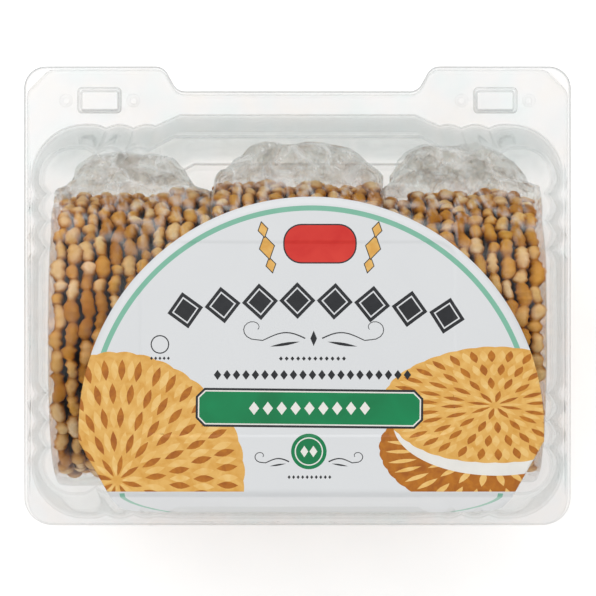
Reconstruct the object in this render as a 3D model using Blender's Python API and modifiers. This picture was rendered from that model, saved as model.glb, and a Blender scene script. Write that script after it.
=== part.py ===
"""A shut clear clamshell of pizzelle wafers on edge, lying on its back with its label up.

Metres, +Z up. X runs along the rows of wafers, +Y points to the two lock tabs, and the
origin is the middle of the pack's outline on the ground.
"""

import math
import random

import bmesh
import bpy

MM = 0.001
NAME = "pizzelle_clamshell"

# Clamshell: two thin trays, mouth to mouth, each with a flange round its mouth
PACK_WIDTH = 200 * MM
PACK_LENGTH = 168 * MM
WALL = 0.6 * MM
SEAM = 0.3 * MM  # the gap between pieces that touch
BASE_DEPTH = 57.4 * MM
LID_DEPTH = 55.4 * MM

# Cavity of a tray, inside its walls, at its mouth and at its flat panel
MOUTH_HALF_X = 96.7 * MM
MOUTH_HALF_Y = 71.4 * MM
MOUTH_CENTRE_Y = -9.3 * MM
MOUTH_CORNER = 19 * MM
PANEL_HALF_X = 84.4 * MM
PANEL_HALF_Y = 57.5 * MM
PANEL_CENTRE_Y = -8.2 * MM
PANEL_CORNER = 10 * MM
MOUTH_FILLET = 1.2 * MM
PANEL_FILLET = 2.0 * MM
CORNER_STEPS = 5

# Relief of the walls: ribs beside a plain middle, which is raised on the tabs' side
RIB_PITCH = 10 * MM
RIB_DEPTH = 2.2 * MM
TAB_SIDE_RAISE = 3.5 * MM
MIDDLE_HALF = 43 * MM
MIDDLE_FOOT = 52 * MM
END_VALLEY = 50 * MM  # a valley between two ribs of an end wall
END_RIBS_END = 75 * MM
SIDE_VALLEY = 26.5 * MM
SIDE_RIBS_START = 21.5 * MM
SIDE_RIBS_END = 51.5 * MM

# Flange: straight at the hinge, with two lock tabs at the far side
HINGE_CORNER = 10 * MM
TAB_CORNER = 8 * MM
TAB_INNER_X = 49 * MM
TAB_FOOT_X = 44 * MM
TAB_RISE = 9.1 * MM
TAB_BEND = 5 * MM
LID_INSET = 1.3 * MM  # the lid's flange is this much smaller than the base's
LID_TAB_CHAMFER = 8 * MM
OUTLINE_STEPS = 4

# Lock buttons on the tabs, the lid's over the base's
BUTTON_CENTRE = (72.3 * MM, 71.5 * MM)
BUTTON_SIZE = (15 * MM, 8.4 * MM)
BUTTON_RISE = 1.6 * MM
BUTTON_DRAFT = 0.6 * MM
BUTTON_PLAY = 0.5 * MM  # the base's button is this much smaller

# Shallow recess in the lid's panel
RECESS_CENTRE_Y = -14.3 * MM
RECESS_HALF = (52.7 * MM, 32.6 * MM)
RECESS_CORNER = 6.7 * MM
RECESS_DEPTH = 0.8 * MM

# Paper label: a disc on the lid's panel whose foot folds down over the hinge side's wall
LABEL_CENTRE = (4.6 * MM, -44.3 * MM)
LABEL_RADIUS = 77.2 * MM
LABEL_FOOT_HALF = 67 * MM
LABEL_FOOT_DROP = 44 * MM
LABEL_FOOT_POWER = 8  # how square the corners of the foot are
LABEL_CUT_RISE = 18 * MM
LABEL_BEND = 0.8 * MM
LABEL_STEP = 0.02  # the share of the cut at which the label's edge leaves the wall
LABEL_THICK = 0.2 * MM
LABEL_GAP = 0.4 * MM
LABEL_MIDDLE_COLUMNS = 8

# Wafers: discs on edge in three rows, each row in a film pouch
ROW_COUNTS = {"left": 11, "middle": 12, "right": 11}
WAFER_PITCH = 4.8 * MM
WAFER_RADIUS = 52.6 * MM
WAFER_THICK = 3.8 * MM
WAFER_MIDDLE = 1 * MM  # vertices nearer than this to the middle are on the rim
WAFER_EDGE = 0.93  # radius of the flat faces, as a share of the whole
WAFER_SEGMENTS = 20
WAFER_WAVE = 0.35 * MM
WAFER_WAVES = 3  # round each wafer
RADIUS_SPREAD = 0.6 * MM
HEIGHT_SPREAD = 0.8 * MM
ROW_GAP = 1.5 * MM
ROW_CENTRES_Y = {"left": -14.2 * MM, "middle": -10.4 * MM, "right": -13 * MM}

# Film pouches, open at a gathered mouth above the wafers
POUCH_RADIUS = 55 * MM
POUCH_FILM = 0.3 * MM
POUCH_END = 2.5 * MM  # from the last wafer's middle to the film
POUCH_CORNER = 3 * MM
POUCH_MOUTH_Y = 57 * MM
POUCH_MOUTH_HALF_Z = 7 * MM
POUCH_TURN = range(-80, 50, 14)  # degrees round the wafers, from the hinge side
POUCH_NECK = (0.5, 1)  # rings from the wafers to the mouth, as shares of the way
POUCH_CENTRE_Z = WALL + SEAM + POUCH_RADIUS


def mix(first, last, share):
    return first + (last - first) * share


def clear_scene():
    for obj in list(bpy.data.objects):
        bpy.data.objects.remove(obj)


def material(name, colour, roughness, alpha=1.0):
    made = bpy.data.materials.new(name)
    made.use_nodes = True
    shader = made.node_tree.nodes["Principled BSDF"]
    shader.inputs["Base Color"].default_value = (*colour, 1)
    shader.inputs["Roughness"].default_value = roughness
    shader.inputs["Alpha"].default_value = alpha
    return made


def add_object(name, mesh_data, finish):
    """Turns a bmesh into an object of the pack, and frees it."""
    mesh = bpy.data.meshes.new(name)
    mesh_data.to_mesh(mesh)
    mesh_data.free()
    mesh.materials.append(finish)
    obj = bpy.data.objects.new(name, mesh)
    bpy.data.collections[NAME].objects.link(obj)
    return obj


def solidify(obj, thickness):
    """Thickens an open surface along its normals."""
    shell = obj.modifiers.new("wall", "SOLIDIFY")
    shell.thickness = thickness
    shell.offset = 1
    shell.use_even_offset = True


def face_outward(mesh_data, upward):
    """Makes the normals agree, with those of the highest or lowest face pointing out."""
    bmesh.ops.recalc_face_normals(mesh_data, faces=mesh_data.faces)
    mesh_data.faces.ensure_lookup_table()
    mesh_data.normal_update()
    sign = 1 if upward else -1
    end_face = max(mesh_data.faces, key=lambda face: sign * face.calc_center_median().z)
    if sign * end_face.normal.z < 0:
        bmesh.ops.reverse_faces(mesh_data, faces=mesh_data.faces)


def ring(mesh_data, points):
    """A closed loop of vertices and edges through the points."""
    verts = [mesh_data.verts.new(point) for point in points]
    for i, vert in enumerate(verts):
        mesh_data.edges.new((vert, verts[(i + 1) % len(verts)]))
    return verts


def ring_edges(mesh_data, verts):
    return [mesh_data.edges.get((vert, verts[i - 1])) for i, vert in enumerate(verts)]


def loft(mesh_data, first, last):
    """Quads between two rings of the same length."""
    for i in range(len(first)):
        j = (i + 1) % len(first)
        mesh_data.faces.new((first[i], first[j], last[j], last[i]))


def fill_between(mesh_data, outer, holes):
    """A flat face bounded by one ring, with other rings as its holes."""
    edges = ring_edges(mesh_data, outer)
    for hole in holes:
        edges += ring_edges(mesh_data, hole)
    bmesh.ops.triangle_fill(mesh_data, use_beauty=True, edges=edges)


def arc(centre, radius, start_degrees, steps):
    """Points of a quarter turn, both ends included."""
    angles = [math.radians(start_degrees + 90 * i / steps) for i in range(steps + 1)]
    return [
        (centre[0] + radius * math.cos(angle), centre[1] + radius * math.sin(angle))
        for angle in angles
    ]


def rounded_polygon(corners):
    """Points round a polygon of (x, y, radius) corners, each corner an arc."""
    points = []
    for i, (x, y, radius) in enumerate(corners):
        before = corners[i - 1]
        after = corners[(i + 1) % len(corners)]
        into = math.atan2(y - before[1], x - before[0])
        turn = math.atan2(after[1] - y, after[0] - x) - into
        turn = (turn + math.pi) % (2 * math.pi) - math.pi
        reach = radius * math.tan(abs(turn) / 2)
        start = (x - reach * math.cos(into), y - reach * math.sin(into))
        side = math.copysign(1, turn)
        centre = (start[0] - side * radius * math.sin(into),
                  start[1] + side * radius * math.cos(into))
        for step in range(OUTLINE_STEPS + 1):
            heading = into + turn * step / OUTLINE_STEPS
            points.append((centre[0] + side * radius * math.sin(heading),
                           centre[1] - side * radius * math.cos(heading)))
    return points


def rib_valley(distance):
    """Depth of the valleys between ribs, 1 at each valley and 0 on each rib."""
    return math.cos(math.pi * distance / RIB_PITCH) ** 2


def end_relief(station, sign):
    """How far an end wall stands out of its plain line: sign is 1 on the tabs' side."""
    reach = abs(station)
    raised = TAB_SIDE_RAISE if sign > 0 else 0
    if reach <= MIDDLE_HALF:
        return raised
    if reach > END_RIBS_END:
        return 0
    foot = -RIB_DEPTH * rib_valley(max(reach, MIDDLE_FOOT) - END_VALLEY)
    if reach >= MIDDLE_FOOT:
        return foot
    return mix(raised, foot, (reach - MIDDLE_HALF) / (MIDDLE_FOOT - MIDDLE_HALF))


def side_relief(station):
    """How far a side wall stands out of its plain line."""
    reach = abs(station)
    if SIDE_RIBS_START < reach < SIDE_RIBS_END:
        return -RIB_DEPTH * rib_valley(reach - SIDE_VALLEY)
    return 0


def end_stations():
    """Places along an end wall where its relief turns, from -X to +X."""
    ribs = [END_RIBS_END - RIB_PITCH / 2 * i for i in range(5)]
    positive = sorted(ribs + [MIDDLE_FOOT, MIDDLE_HALF])
    return [-station for station in reversed(positive)] + positive


def side_stations():
    """Places along a side wall where its relief turns, from -Y to +Y."""
    positive = [SIDE_RIBS_START + RIB_PITCH / 2 * i for i in range(6)]
    return [-station for station in reversed(positive)] + positive


class Section:
    """The cavity's outline at one height: level 0 at the mouth, 1 at the panel."""

    def __init__(self, level, inset=0.0):
        self.half_x = mix(MOUTH_HALF_X, PANEL_HALF_X, level) - inset
        self.half_y = mix(MOUTH_HALF_Y, PANEL_HALF_Y, level) - inset
        self.centre_y = mix(MOUTH_CENTRE_Y, PANEL_CENTRE_Y, level)
        self.corner = mix(MOUTH_CORNER, PANEL_CORNER, level) - inset
        self.stretch_x = (self.half_x - self.corner) / (MOUTH_HALF_X - MOUTH_CORNER)
        self.stretch_y = (self.half_y - self.corner) / (MOUTH_HALF_Y - MOUTH_CORNER)

    def end_point(self, station, sign):
        """A point of the end wall at the tabs (sign 1) or at the hinge (sign -1)."""
        y = self.centre_y + sign * (self.half_y + end_relief(station, sign))
        return station * self.stretch_x, y

    def side_point(self, station, sign):
        x = sign * (self.half_x + side_relief(station))
        return x, self.centre_y + station * self.stretch_y

    def corner_points(self, sign_x, sign_y, start_degrees):
        centre = (sign_x * (self.half_x - self.corner),
                  self.centre_y + sign_y * (self.half_y - self.corner))
        return arc(centre, self.corner, start_degrees, CORNER_STEPS)

    def outline(self):
        """Points anticlockwise from the left end of the hinge side."""
        points = [self.end_point(station, -1) for station in end_stations()]
        points += self.corner_points(1, -1, -90)
        points += [self.side_point(station, 1) for station in side_stations()]
        points += self.corner_points(1, 1, 0)
        points += [self.end_point(station, 1) for station in reversed(end_stations())]
        points += self.corner_points(-1, 1, 90)
        points += [self.side_point(station, -1) for station in reversed(side_stations())]
        points += self.corner_points(-1, -1, 180)
        return points


def flange_outline(inset, chamfer):
    """The flange with its two tabs; a chamfer cuts the tabs' outer corners."""
    half_x = PACK_WIDTH / 2 - inset
    top = PACK_LENGTH / 2 - inset
    hinge = -PACK_LENGTH / 2
    if chamfer:
        outer = [(half_x, top - chamfer, chamfer / 2), (half_x - chamfer, top, chamfer / 2)]
    else:
        outer = [(half_x, top, TAB_CORNER)]
    inner = [(TAB_INNER_X, top, TAB_BEND), (TAB_FOOT_X, top - TAB_RISE, TAB_BEND)]
    right = [(half_x, hinge, HINGE_CORNER)] + outer + inner
    left = [(-x, y, radius) for x, y, radius in reversed(right)]
    return rounded_polygon(right + left)


def button_rings(mesh_data, sign, floor, shrink):
    """A lock button's foot and top on one tab. Returns the foot, the flange's hole."""
    centre_x = sign * BUTTON_CENTRE[0]
    feet = []
    for height, draft in ((0, 0), (BUTTON_RISE - shrink, BUTTON_DRAFT)):
        half_x = BUTTON_SIZE[0] / 2 - shrink - draft
        half_y = BUTTON_SIZE[1] / 2 - shrink - draft
        corners = ((-1, -1), (1, -1), (1, 1), (-1, 1))
        points = [(centre_x + i * half_x, BUTTON_CENTRE[1] + j * half_y, floor + height)
                  for i, j in corners]
        feet.append(ring(mesh_data, points))
    loft(mesh_data, feet[0], feet[1])
    mesh_data.faces.new(feet[1])
    return feet[0]


def wall_rings(mesh_data, mouth_z, depth, way):
    """The cavity's rings from the flange to the panel; way is 1 upward, -1 downward."""
    near = PANEL_FILLET * (1 - math.sqrt(0.5))
    steps = ((0, -MOUTH_FILLET), (MOUTH_FILLET, 0), (depth - PANEL_FILLET, 0),
             (depth - near, near), (depth, PANEL_FILLET))
    rings = []
    for height, inset in steps:
        section = Section(height / depth, inset)
        rings.append(ring(mesh_data, [(x, y, mouth_z + way * height)
                                      for x, y in section.outline()]))
    for first, last in zip(rings, rings[1:]):
        loft(mesh_data, first, last)
    return rings


def recess_outline(inset):
    half_x, half_y = (half - inset for half in RECESS_HALF)
    corners = ((1, -1), (1, 1), (-1, 1), (-1, -1))
    return rounded_polygon([(i * half_x, RECESS_CENTRE_Y + j * half_y, RECESS_CORNER - inset)
                            for i, j in corners])


def close_panel(mesh_data, edge_ring, height, recessed):
    """Fills the panel, with the shallow recess in it if asked."""
    if not recessed:
        mesh_data.faces.new(edge_ring)
        return
    rim = ring(mesh_data, [(x, y, height) for x, y in recess_outline(0)])
    floor = ring(mesh_data, [(x, y, height - RECESS_DEPTH)
                             for x, y in recess_outline(RECESS_DEPTH)])
    fill_between(mesh_data, edge_ring, [rim])
    loft(mesh_data, rim, floor)
    mesh_data.faces.new(floor)


def tray(name, mouth_z, depth, way, finish, inset, chamfer, shrink):
    """One half of the clamshell, from its inner surface thickened outward."""
    mesh_data = bmesh.new()
    rings = wall_rings(mesh_data, mouth_z, depth, way)
    close_panel(mesh_data, rings[-1], mouth_z + way * depth, recessed=way > 0)
    outline = ring(mesh_data, [(x, y, mouth_z) for x, y in flange_outline(inset, chamfer)])
    feet = [button_rings(mesh_data, sign, mouth_z, shrink) for sign in (1, -1)]
    fill_between(mesh_data, outline, [rings[0]] + feet)
    face_outward(mesh_data, upward=way > 0)
    solidify(add_object(name, mesh_data, finish), WALL)


def label_point(station, run):
    """A point on the label: run is the distance up the panel (or, below 0, down the wall)."""
    top = lid_top() + LABEL_GAP
    edge = Section(1)
    lean = math.atan2(MOUTH_HALF_Y - PANEL_HALF_Y, LID_DEPTH)
    out = WALL + LABEL_GAP
    if run >= 0:
        return station * edge.stretch_x, edge.end_point(station, -1)[1] + run, top
    height = LID_DEPTH + run * math.cos(lean)
    x, y = Section(height / LID_DEPTH).end_point(station, -1)
    return x, y - out * math.cos(lean), lid_mouth() + height + out * math.sin(lean)


def label_runs(station):
    """Where one column of the label starts, bends and ends."""
    edge = Section(1)
    offset = station * edge.stretch_x - LABEL_CENTRE[0]
    edge_y = edge.end_point(station, -1)[1]
    top = LABEL_CENTRE[1] + math.sqrt(LABEL_RADIUS**2 - offset**2) - edge_y
    share = (abs(offset) - LABEL_FOOT_HALF) / (LABEL_RADIUS - LABEL_FOOT_HALF)
    if share > LABEL_STEP:
        foot = LABEL_BEND + LABEL_CUT_RISE * share
        return [top, mix(top, foot, 0.5)] + [foot + SEAM * i for i in (3, 2, 1, 0)]
    square = (offset / LABEL_FOOT_HALF) ** LABEL_FOOT_POWER
    rounding = max(1 - square, 0) ** (1 / LABEL_FOOT_POWER)
    foot = -LABEL_BEND - max(LABEL_FOOT_DROP * rounding, LABEL_BEND)
    return [top, mix(top, LABEL_BEND, 0.5), LABEL_BEND, -LABEL_BEND,
            mix(-LABEL_BEND, foot, 0.5), foot]


def label_stations():
    """Columns across the label, on the ribs' turning places where the walls have ribs."""
    stretch = Section(1).stretch_x
    side = LABEL_RADIUS - SEAM
    step = 2 * LABEL_STEP * (LABEL_RADIUS - LABEL_FOOT_HALF)
    reaches = (side, LABEL_FOOT_HALF + step, LABEL_FOOT_HALF)
    ends = [(LABEL_CENTRE[0] + sign * reach) / stretch for reach in reaches for sign in (1, -1)]
    middle = [mix(-MIDDLE_HALF, MIDDLE_HALF, i / LABEL_MIDDLE_COLUMNS)
              for i in range(1, LABEL_MIDDLE_COLUMNS)]
    inside = [station for station in end_stations() if min(ends) < station < max(ends)]
    return sorted(ends + middle + inside)


def label(finish):
    mesh_data = bmesh.new()
    columns = [[mesh_data.verts.new(label_point(station, run)) for run in label_runs(station)]
               for station in label_stations()]
    for first, last in zip(columns, columns[1:]):
        for i in range(len(first) - 1):
            mesh_data.faces.new((first[i + 1], last[i + 1], last[i], first[i]))
    face_outward(mesh_data, upward=True)
    solidify(add_object("label", mesh_data, finish), LABEL_THICK)


def row_centres():
    """The X of each row's middle, with the wafers' centres in it."""
    total = sum(ROW_COUNTS.values()) * WAFER_PITCH + 2 * ROW_GAP
    start = -total / 2
    rows = {}
    for name, count in ROW_COUNTS.items():
        rows[name] = [start + WAFER_PITCH * (i + 0.5) for i in range(count)]
        start += WAFER_PITCH * count + ROW_GAP
    return rows


def wafer(name, centre_x, centre_y, phase, chance, finish):
    """A disc with its axis along X, thinner at its rim and slightly wavy."""
    radius = WAFER_RADIUS + chance.uniform(-1, 1) * RADIUS_SPREAD
    mesh_data = bmesh.new()
    bmesh.ops.create_cone(mesh_data, cap_ends=True, segments=WAFER_SEGMENTS,
                          radius1=radius * WAFER_EDGE, radius2=radius * WAFER_EDGE,
                          depth=WAFER_THICK)
    walls = [edge for edge in mesh_data.edges
             if abs(edge.verts[0].co.z - edge.verts[1].co.z) > WAFER_THICK / 2]
    bmesh.ops.subdivide_edges(mesh_data, edges=walls, cuts=1)
    for vert in mesh_data.verts:
        if abs(vert.co.z) < WAFER_MIDDLE:
            vert.co.x /= WAFER_EDGE
            vert.co.y /= WAFER_EDGE
        turn = math.atan2(vert.co.y, vert.co.x)
        vert.co.z += WAFER_WAVE * math.sin(WAFER_WAVES * turn + phase)
    obj = add_object(name, mesh_data, finish)
    obj.rotation_euler = (0, math.pi / 2, 0)
    lift = chance.uniform(-1, 1) * HEIGHT_SPREAD
    obj.location = (centre_x, centre_y + lift, POUCH_CENTRE_Z)


def pouch_ring(mesh_data, half_x, half_z, centre_x, y):
    """A rectangle with cut corners round a row, in the plane at y."""
    cut = min(POUCH_CORNER, half_z / 2)
    corners = ((half_x, half_z - cut), (half_x - cut, half_z))
    points = []
    for sign_x, sign_z in ((1, 1), (-1, 1), (-1, -1), (1, -1)):
        pair = corners if sign_x * sign_z > 0 else reversed(corners)
        points += [(centre_x + sign_x * x, y, POUCH_CENTRE_Z + sign_z * z) for x, z in pair]
    return ring(mesh_data, points)


def pouch(name, centres, centre_y, finish):
    """Film round one row: it follows the wafers and narrows to an open mouth."""
    half_x = (centres[-1] - centres[0]) / 2 + POUCH_END
    centre_x = (centres[-1] + centres[0]) / 2
    inner = POUCH_RADIUS - POUCH_FILM
    mesh_data = bmesh.new()
    turns = [math.radians(degrees) for degrees in POUCH_TURN]
    profile = [(inner * math.sin(turn), inner * math.cos(turn)) for turn in turns]
    shoulder_y, shoulder_z = profile[-1]
    mouth_y = POUCH_MOUTH_Y - centre_y
    profile += [(mix(shoulder_y, mouth_y, share), mix(shoulder_z, POUCH_MOUTH_HALF_Z, share))
                for share in POUCH_NECK]
    rings = [pouch_ring(mesh_data, half_x, half_z, centre_x, centre_y + y)
             for y, half_z in profile]
    for first, last in zip(rings, rings[1:]):
        loft(mesh_data, first, last)
    mesh_data.faces.new(rings[0])
    face_outward(mesh_data, upward=True)
    solidify(add_object(name, mesh_data, finish), POUCH_FILM)


def rows_of_wafers(crust, film):
    number = 0
    for row, centres in row_centres().items():
        centre_y = ROW_CENTRES_Y[row]
        chance = random.Random(row)
        phase = chance.uniform(0, 2 * math.pi)
        for centre_x in centres:
            number += 1
            wafer(f"wafer_{number:02d}", centre_x, centre_y, phase, chance, crust)
        pouch(f"pouch_{row}", centres, centre_y, film)


def base_mouth():
    return WALL + BASE_DEPTH


def lid_mouth():
    return base_mouth() + SEAM


def lid_top():
    return lid_mouth() + LID_DEPTH + WALL


def build():
    clear_scene()
    bpy.context.scene.collection.children.link(bpy.data.collections.new(NAME))
    clear = material("clear_plastic", (0.86, 0.88, 0.88), 0.08, 0.3)
    film = material("clear_film", (0.9, 0.9, 0.9), 0.15, 0.25)
    paper = material("label_paper", (0.7, 0.72, 0.73), 0.5)
    crust = material("wafer", (0.55, 0.32, 0.12), 0.7)
    tray("base_shell", base_mouth(), BASE_DEPTH, -1, clear, 0, 0, BUTTON_PLAY)
    tray("lid_shell", lid_mouth(), LID_DEPTH, 1, clear, LID_INSET, LID_TAB_CHAMFER, 0)
    label(paper)
    rows_of_wafers(crust, film)


build()
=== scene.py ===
"""The looks of a shut clear clamshell of pizzelle wafers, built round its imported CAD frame.

Metres, +Z up. X runs along the rows of wafers, +Y points to the two lock tabs, and the pack
lies on its back with the label up.
"""

import random
from math import atan2, copysign, cos, hypot, pi, radians, sin, tan

import bmesh
import bpy
import numpy as np
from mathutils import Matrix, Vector, geometry, noise

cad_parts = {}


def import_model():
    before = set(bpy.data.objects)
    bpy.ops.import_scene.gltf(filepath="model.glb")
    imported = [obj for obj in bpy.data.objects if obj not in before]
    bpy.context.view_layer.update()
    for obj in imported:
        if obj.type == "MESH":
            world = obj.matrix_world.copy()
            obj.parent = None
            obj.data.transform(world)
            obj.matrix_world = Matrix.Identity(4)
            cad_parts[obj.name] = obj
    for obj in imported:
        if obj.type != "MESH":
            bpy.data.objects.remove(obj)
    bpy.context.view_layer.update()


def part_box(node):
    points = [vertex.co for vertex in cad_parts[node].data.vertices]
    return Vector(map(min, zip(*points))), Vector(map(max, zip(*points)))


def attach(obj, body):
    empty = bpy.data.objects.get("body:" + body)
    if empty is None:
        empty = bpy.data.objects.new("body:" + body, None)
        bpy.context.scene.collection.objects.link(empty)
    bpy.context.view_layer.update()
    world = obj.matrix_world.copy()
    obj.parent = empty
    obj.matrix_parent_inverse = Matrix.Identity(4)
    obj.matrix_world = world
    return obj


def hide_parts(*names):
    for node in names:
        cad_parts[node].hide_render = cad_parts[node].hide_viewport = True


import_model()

MM = 0.001


def mm(*sizes):
    return tuple(size * MM for size in sizes)


# Clamshell: two thin trays, mouth to mouth, as in the CAD frame
PACK_WIDTH = 200 * MM
PACK_LENGTH = 168 * MM
WALL = 0.6 * MM
SEAM = 0.3 * MM
MOUTH_HALF = mm(96.7, 71.4)
MOUTH_CENTRE_Y = -9.3 * MM
MOUTH_CORNER = 19 * MM
PANEL_HALF = mm(84.4, 57.5)
PANEL_CENTRE_Y = -8.2 * MM
PANEL_CORNER = 10 * MM
MOUTH_FILLET = 1.2 * MM
PANEL_FILLET = 2.0 * MM
FLAT_BORDER = 0.5 * MM  # a ring of flat faces that keeps the shading of a flat face flat
CORNER_STEPS = 10
FILLET_STEPS = 5
WALL_STEPS = 6

# Relief of the walls: ribs beside a plain middle, which is raised on the tabs' side
RIB_PITCH = 10 * MM
RIB_DEPTH = 2.2 * MM
RIB_MOUTH_DEPTH = 1.3 * MM
RIB_STEPS = 10
TAB_SIDE_RAISE = 3.5 * MM
MIDDLE_HALF = 43 * MM
MIDDLE_FOOT = 52 * MM
END_VALLEY = 50 * MM
END_RIBS_END = 75 * MM
SIDE_VALLEY = 26.5 * MM
SIDE_RIBS = mm(21.5, 51.5)
SHADED_WALL_START = 42 * MM  # the walls beyond here get a painted grey shade
FAINT_CREASE_SHADE = 0.3  # how strong the painted dark lines along the pressed edges are elsewhere, as a share

# Flange: straight at the hinge, with two lock tabs at the far side
HINGE_CORNER = 10 * MM
TAB_CORNER = 8 * MM
TAB_INNER_X = 49 * MM
TAB_FOOT_X = 44 * MM
TAB_RISE = 9.1 * MM
TAB_BEND = 5 * MM
TAB_LEAN = 0.6  # how far a tab's slanted side moves in for each unit of border
LID_INSET = 1.3 * MM
LID_TAB_CHAMFER = 8 * MM
LIP_WIDTH = 0.45 * MM
LIP_DROP = 0.12 * MM
OUTLINE_STEPS = 10

# Lock buttons, with a dimple on each side, and the notches pressed across the hinge
BUTTON_CENTRE = mm(72.3, 71.5)
BUTTON_SIZE = mm(15, 8.4)
BUTTON_RISE = 1.6 * MM
BUTTON_DRAFT = 0.6 * MM
BUTTON_CORNER = 1.0 * MM
BUTTON_PLAY = 0.5 * MM
DIMPLE_REACH = 12.3 * MM
DIMPLE_RADIUS = 2.1 * MM
DIMPLE_RISE = 0.22 * MM
HINGE_NOTCHES = 8
HINGE_PITCH = 22.1 * MM
HINGE_RIDGE = 1.1 * MM
HINGE_RISE = 0.35 * MM
HINGE_SLANT = 1.3
HINGE_STRIP = 3.2 * MM
HINGE_STEP = 0.8 * MM
HINGE_MARGIN = 0.3 * MM  # keeps the thickened ridges inside the pack's box

# Shallow recess in the lid's panel
RECESS_CENTRE_Y = -14.3 * MM
RECESS_HALF = mm(52.7, 32.6)
RECESS_CORNER = 6.7 * MM
RECESS_DEPTH = 0.8 * MM

# Heights of the trays, from the frame
LID_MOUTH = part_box("lid_shell")[0].z
LID_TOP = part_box("lid_shell")[1].z
LID_DEPTH = LID_TOP - WALL - LID_MOUTH
BASE_MOUTH = LID_MOUTH - SEAM
BASE_DEPTH = BASE_MOUTH - WALL
WALL_LEAN = atan2(MOUTH_HALF[1] - PANEL_HALF[1], LID_DEPTH)  # from the vertical


def mix(first, last, share):
    return first + (last - first) * share


def ease(share):
    share = min(max(share, 0.0), 1.0)
    return share * share * (3 - 2 * share)


# ---- mesh helpers

def new_object(name, data):
    made = bpy.data.objects.new(name, data)
    bpy.context.scene.collection.objects.link(made)
    return made


def new_piece(name, mesh, materials, node):
    """Adds a mesh as a piece of the pack that stands for a CAD node."""
    for material in materials:
        mesh.materials.append(material)
    piece = new_object(name, mesh)
    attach(piece, "root")
    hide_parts(node)
    return piece


def smooth(mesh, sharp_degrees):
    mesh.polygons.foreach_set("use_smooth", [True] * len(mesh.polygons))
    mesh.set_sharp_from_angle(angle=radians(sharp_degrees))


def new_sheet(name, bm, sharp_degrees, materials, node, thickness):
    """Makes a piece of a bmesh, thickened along its normals, and frees the bmesh."""
    mesh = bpy.data.meshes.new(name)
    bm.to_mesh(mesh)
    bm.free()
    smooth(mesh, sharp_degrees)
    piece = new_piece(name, mesh, materials, node)
    shell = piece.modifiers.new("wall", "SOLIDIFY")
    shell.thickness = thickness
    shell.offset = 1
    shell.use_even_offset = False
    return piece


def face_outward(bm, upward):
    """Makes the normals agree, with those of the highest or lowest face pointing out."""
    bmesh.ops.recalc_face_normals(bm, faces=bm.faces)
    bm.normal_update()
    sign = 1 if upward else -1
    end_face = max(bm.faces, key=lambda face: sign * face.calc_center_median().z)
    if sign * end_face.normal.z < 0:
        bmesh.ops.reverse_faces(bm, faces=bm.faces)


def ring(bm, points, crease_shade_and_glint=0.0):
    """A closed loop of vertices and edges, with the strength of the painted line along it: painted
    shade on the clamshell.
    """
    layer = bm.verts.layers.float["crease_shade_and_glint"]
    verts = [bm.verts.new(point) for point in points]
    for i, vert in enumerate(verts):
        vert[layer] = crease_shade_and_glint
        bm.edges.new((vert, verts[(i + 1) % len(verts)]))
    return verts


def loft(bm, rings):
    """Quads between each ring and the next, which are all of one length."""
    for first, last in zip(rings, rings[1:]):
        for i in range(len(first)):
            j = (i + 1) % len(first)
            bm.faces.new((first[i], first[j], last[j], last[i]))


def fill_between(bm, outer, holes):
    edges = []
    for verts in [outer] + holes:
        edges += [bm.edges.get((vert, verts[i - 1])) for i, vert in enumerate(verts)]
    bmesh.ops.triangle_fill(bm, use_beauty=True, edges=edges)


def rounded_polygon(corners, steps=OUTLINE_STEPS):
    """Points round a polygon of (x, y, radius) corners, each corner an arc."""
    points = []
    for i, (x, y, radius) in enumerate(corners):
        before = corners[i - 1]
        after = corners[(i + 1) % len(corners)]
        into = atan2(y - before[1], x - before[0])
        turn = atan2(after[1] - y, after[0] - x) - into
        turn = (turn + pi) % (2 * pi) - pi
        reach = radius * tan(abs(turn) / 2)
        start = (x - reach * cos(into), y - reach * sin(into))
        side = copysign(1, turn)
        centre = (start[0] - side * radius * sin(into),
                  start[1] + side * radius * cos(into))
        for step in range(steps + 1):
            heading = into + turn * step / steps
            points.append((centre[0] + side * radius * sin(heading),
                           centre[1] - side * radius * cos(heading)))
    return points


def rounded_rectangle(centre, half, corner, steps=OUTLINE_STEPS):
    signs = ((1, -1), (1, 1), (-1, 1), (-1, -1))
    return rounded_polygon([(centre[0] + i * half[0], centre[1] + j * half[1], corner)
                            for i, j in signs], steps)


def at_height(points, z):
    return [(x, y, z) for x, y in points]


# ---- clamshell

def rib_valley(distance, level):
    """Depth of the narrow grooves between rounded ribs."""
    depth = mix(RIB_MOUTH_DEPTH, RIB_DEPTH, level)
    return depth * (1 - abs(sin(pi * distance / RIB_PITCH)))


def end_relief(station, sign, level):
    """How far an end wall stands out; sign is 1 on the tabs' side."""
    reach = abs(station)
    raised = TAB_SIDE_RAISE if sign > 0 else 0
    if reach <= MIDDLE_HALF:
        return raised
    if reach > END_RIBS_END:
        return 0
    foot = -rib_valley(max(reach, MIDDLE_FOOT) - END_VALLEY, level)
    if reach >= MIDDLE_FOOT:
        return foot
    return mix(raised, foot, (reach - MIDDLE_HALF) / (MIDDLE_FOOT - MIDDLE_HALF))


def side_relief(station, level):
    reach = abs(station)
    if SIDE_RIBS[0] < reach < SIDE_RIBS[1]:
        return -rib_valley(reach - SIDE_VALLEY, level)
    return 0


def stations(start, end, plain=()):
    """Places along a wall, on both sides of its middle and close together on its ribs."""
    count = round((end - start) / RIB_PITCH * RIB_STEPS)
    places = list(plain) + [mix(start, end, i / count) for i in range(count + 1)]
    return [-place for place in reversed(places)] + places


END_STATIONS = stations(MIDDLE_FOOT, END_RIBS_END, (MIDDLE_HALF * 0.98, MIDDLE_HALF))
SIDE_STATIONS = stations(*SIDE_RIBS)


def quarter_arc(centre, radius, start_degrees, steps):
    angles = [radians(start_degrees + 90 * i / steps) for i in range(steps + 1)]
    return [(centre[0] + radius * cos(angle), centre[1] + radius * sin(angle))
            for angle in angles]


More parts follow.
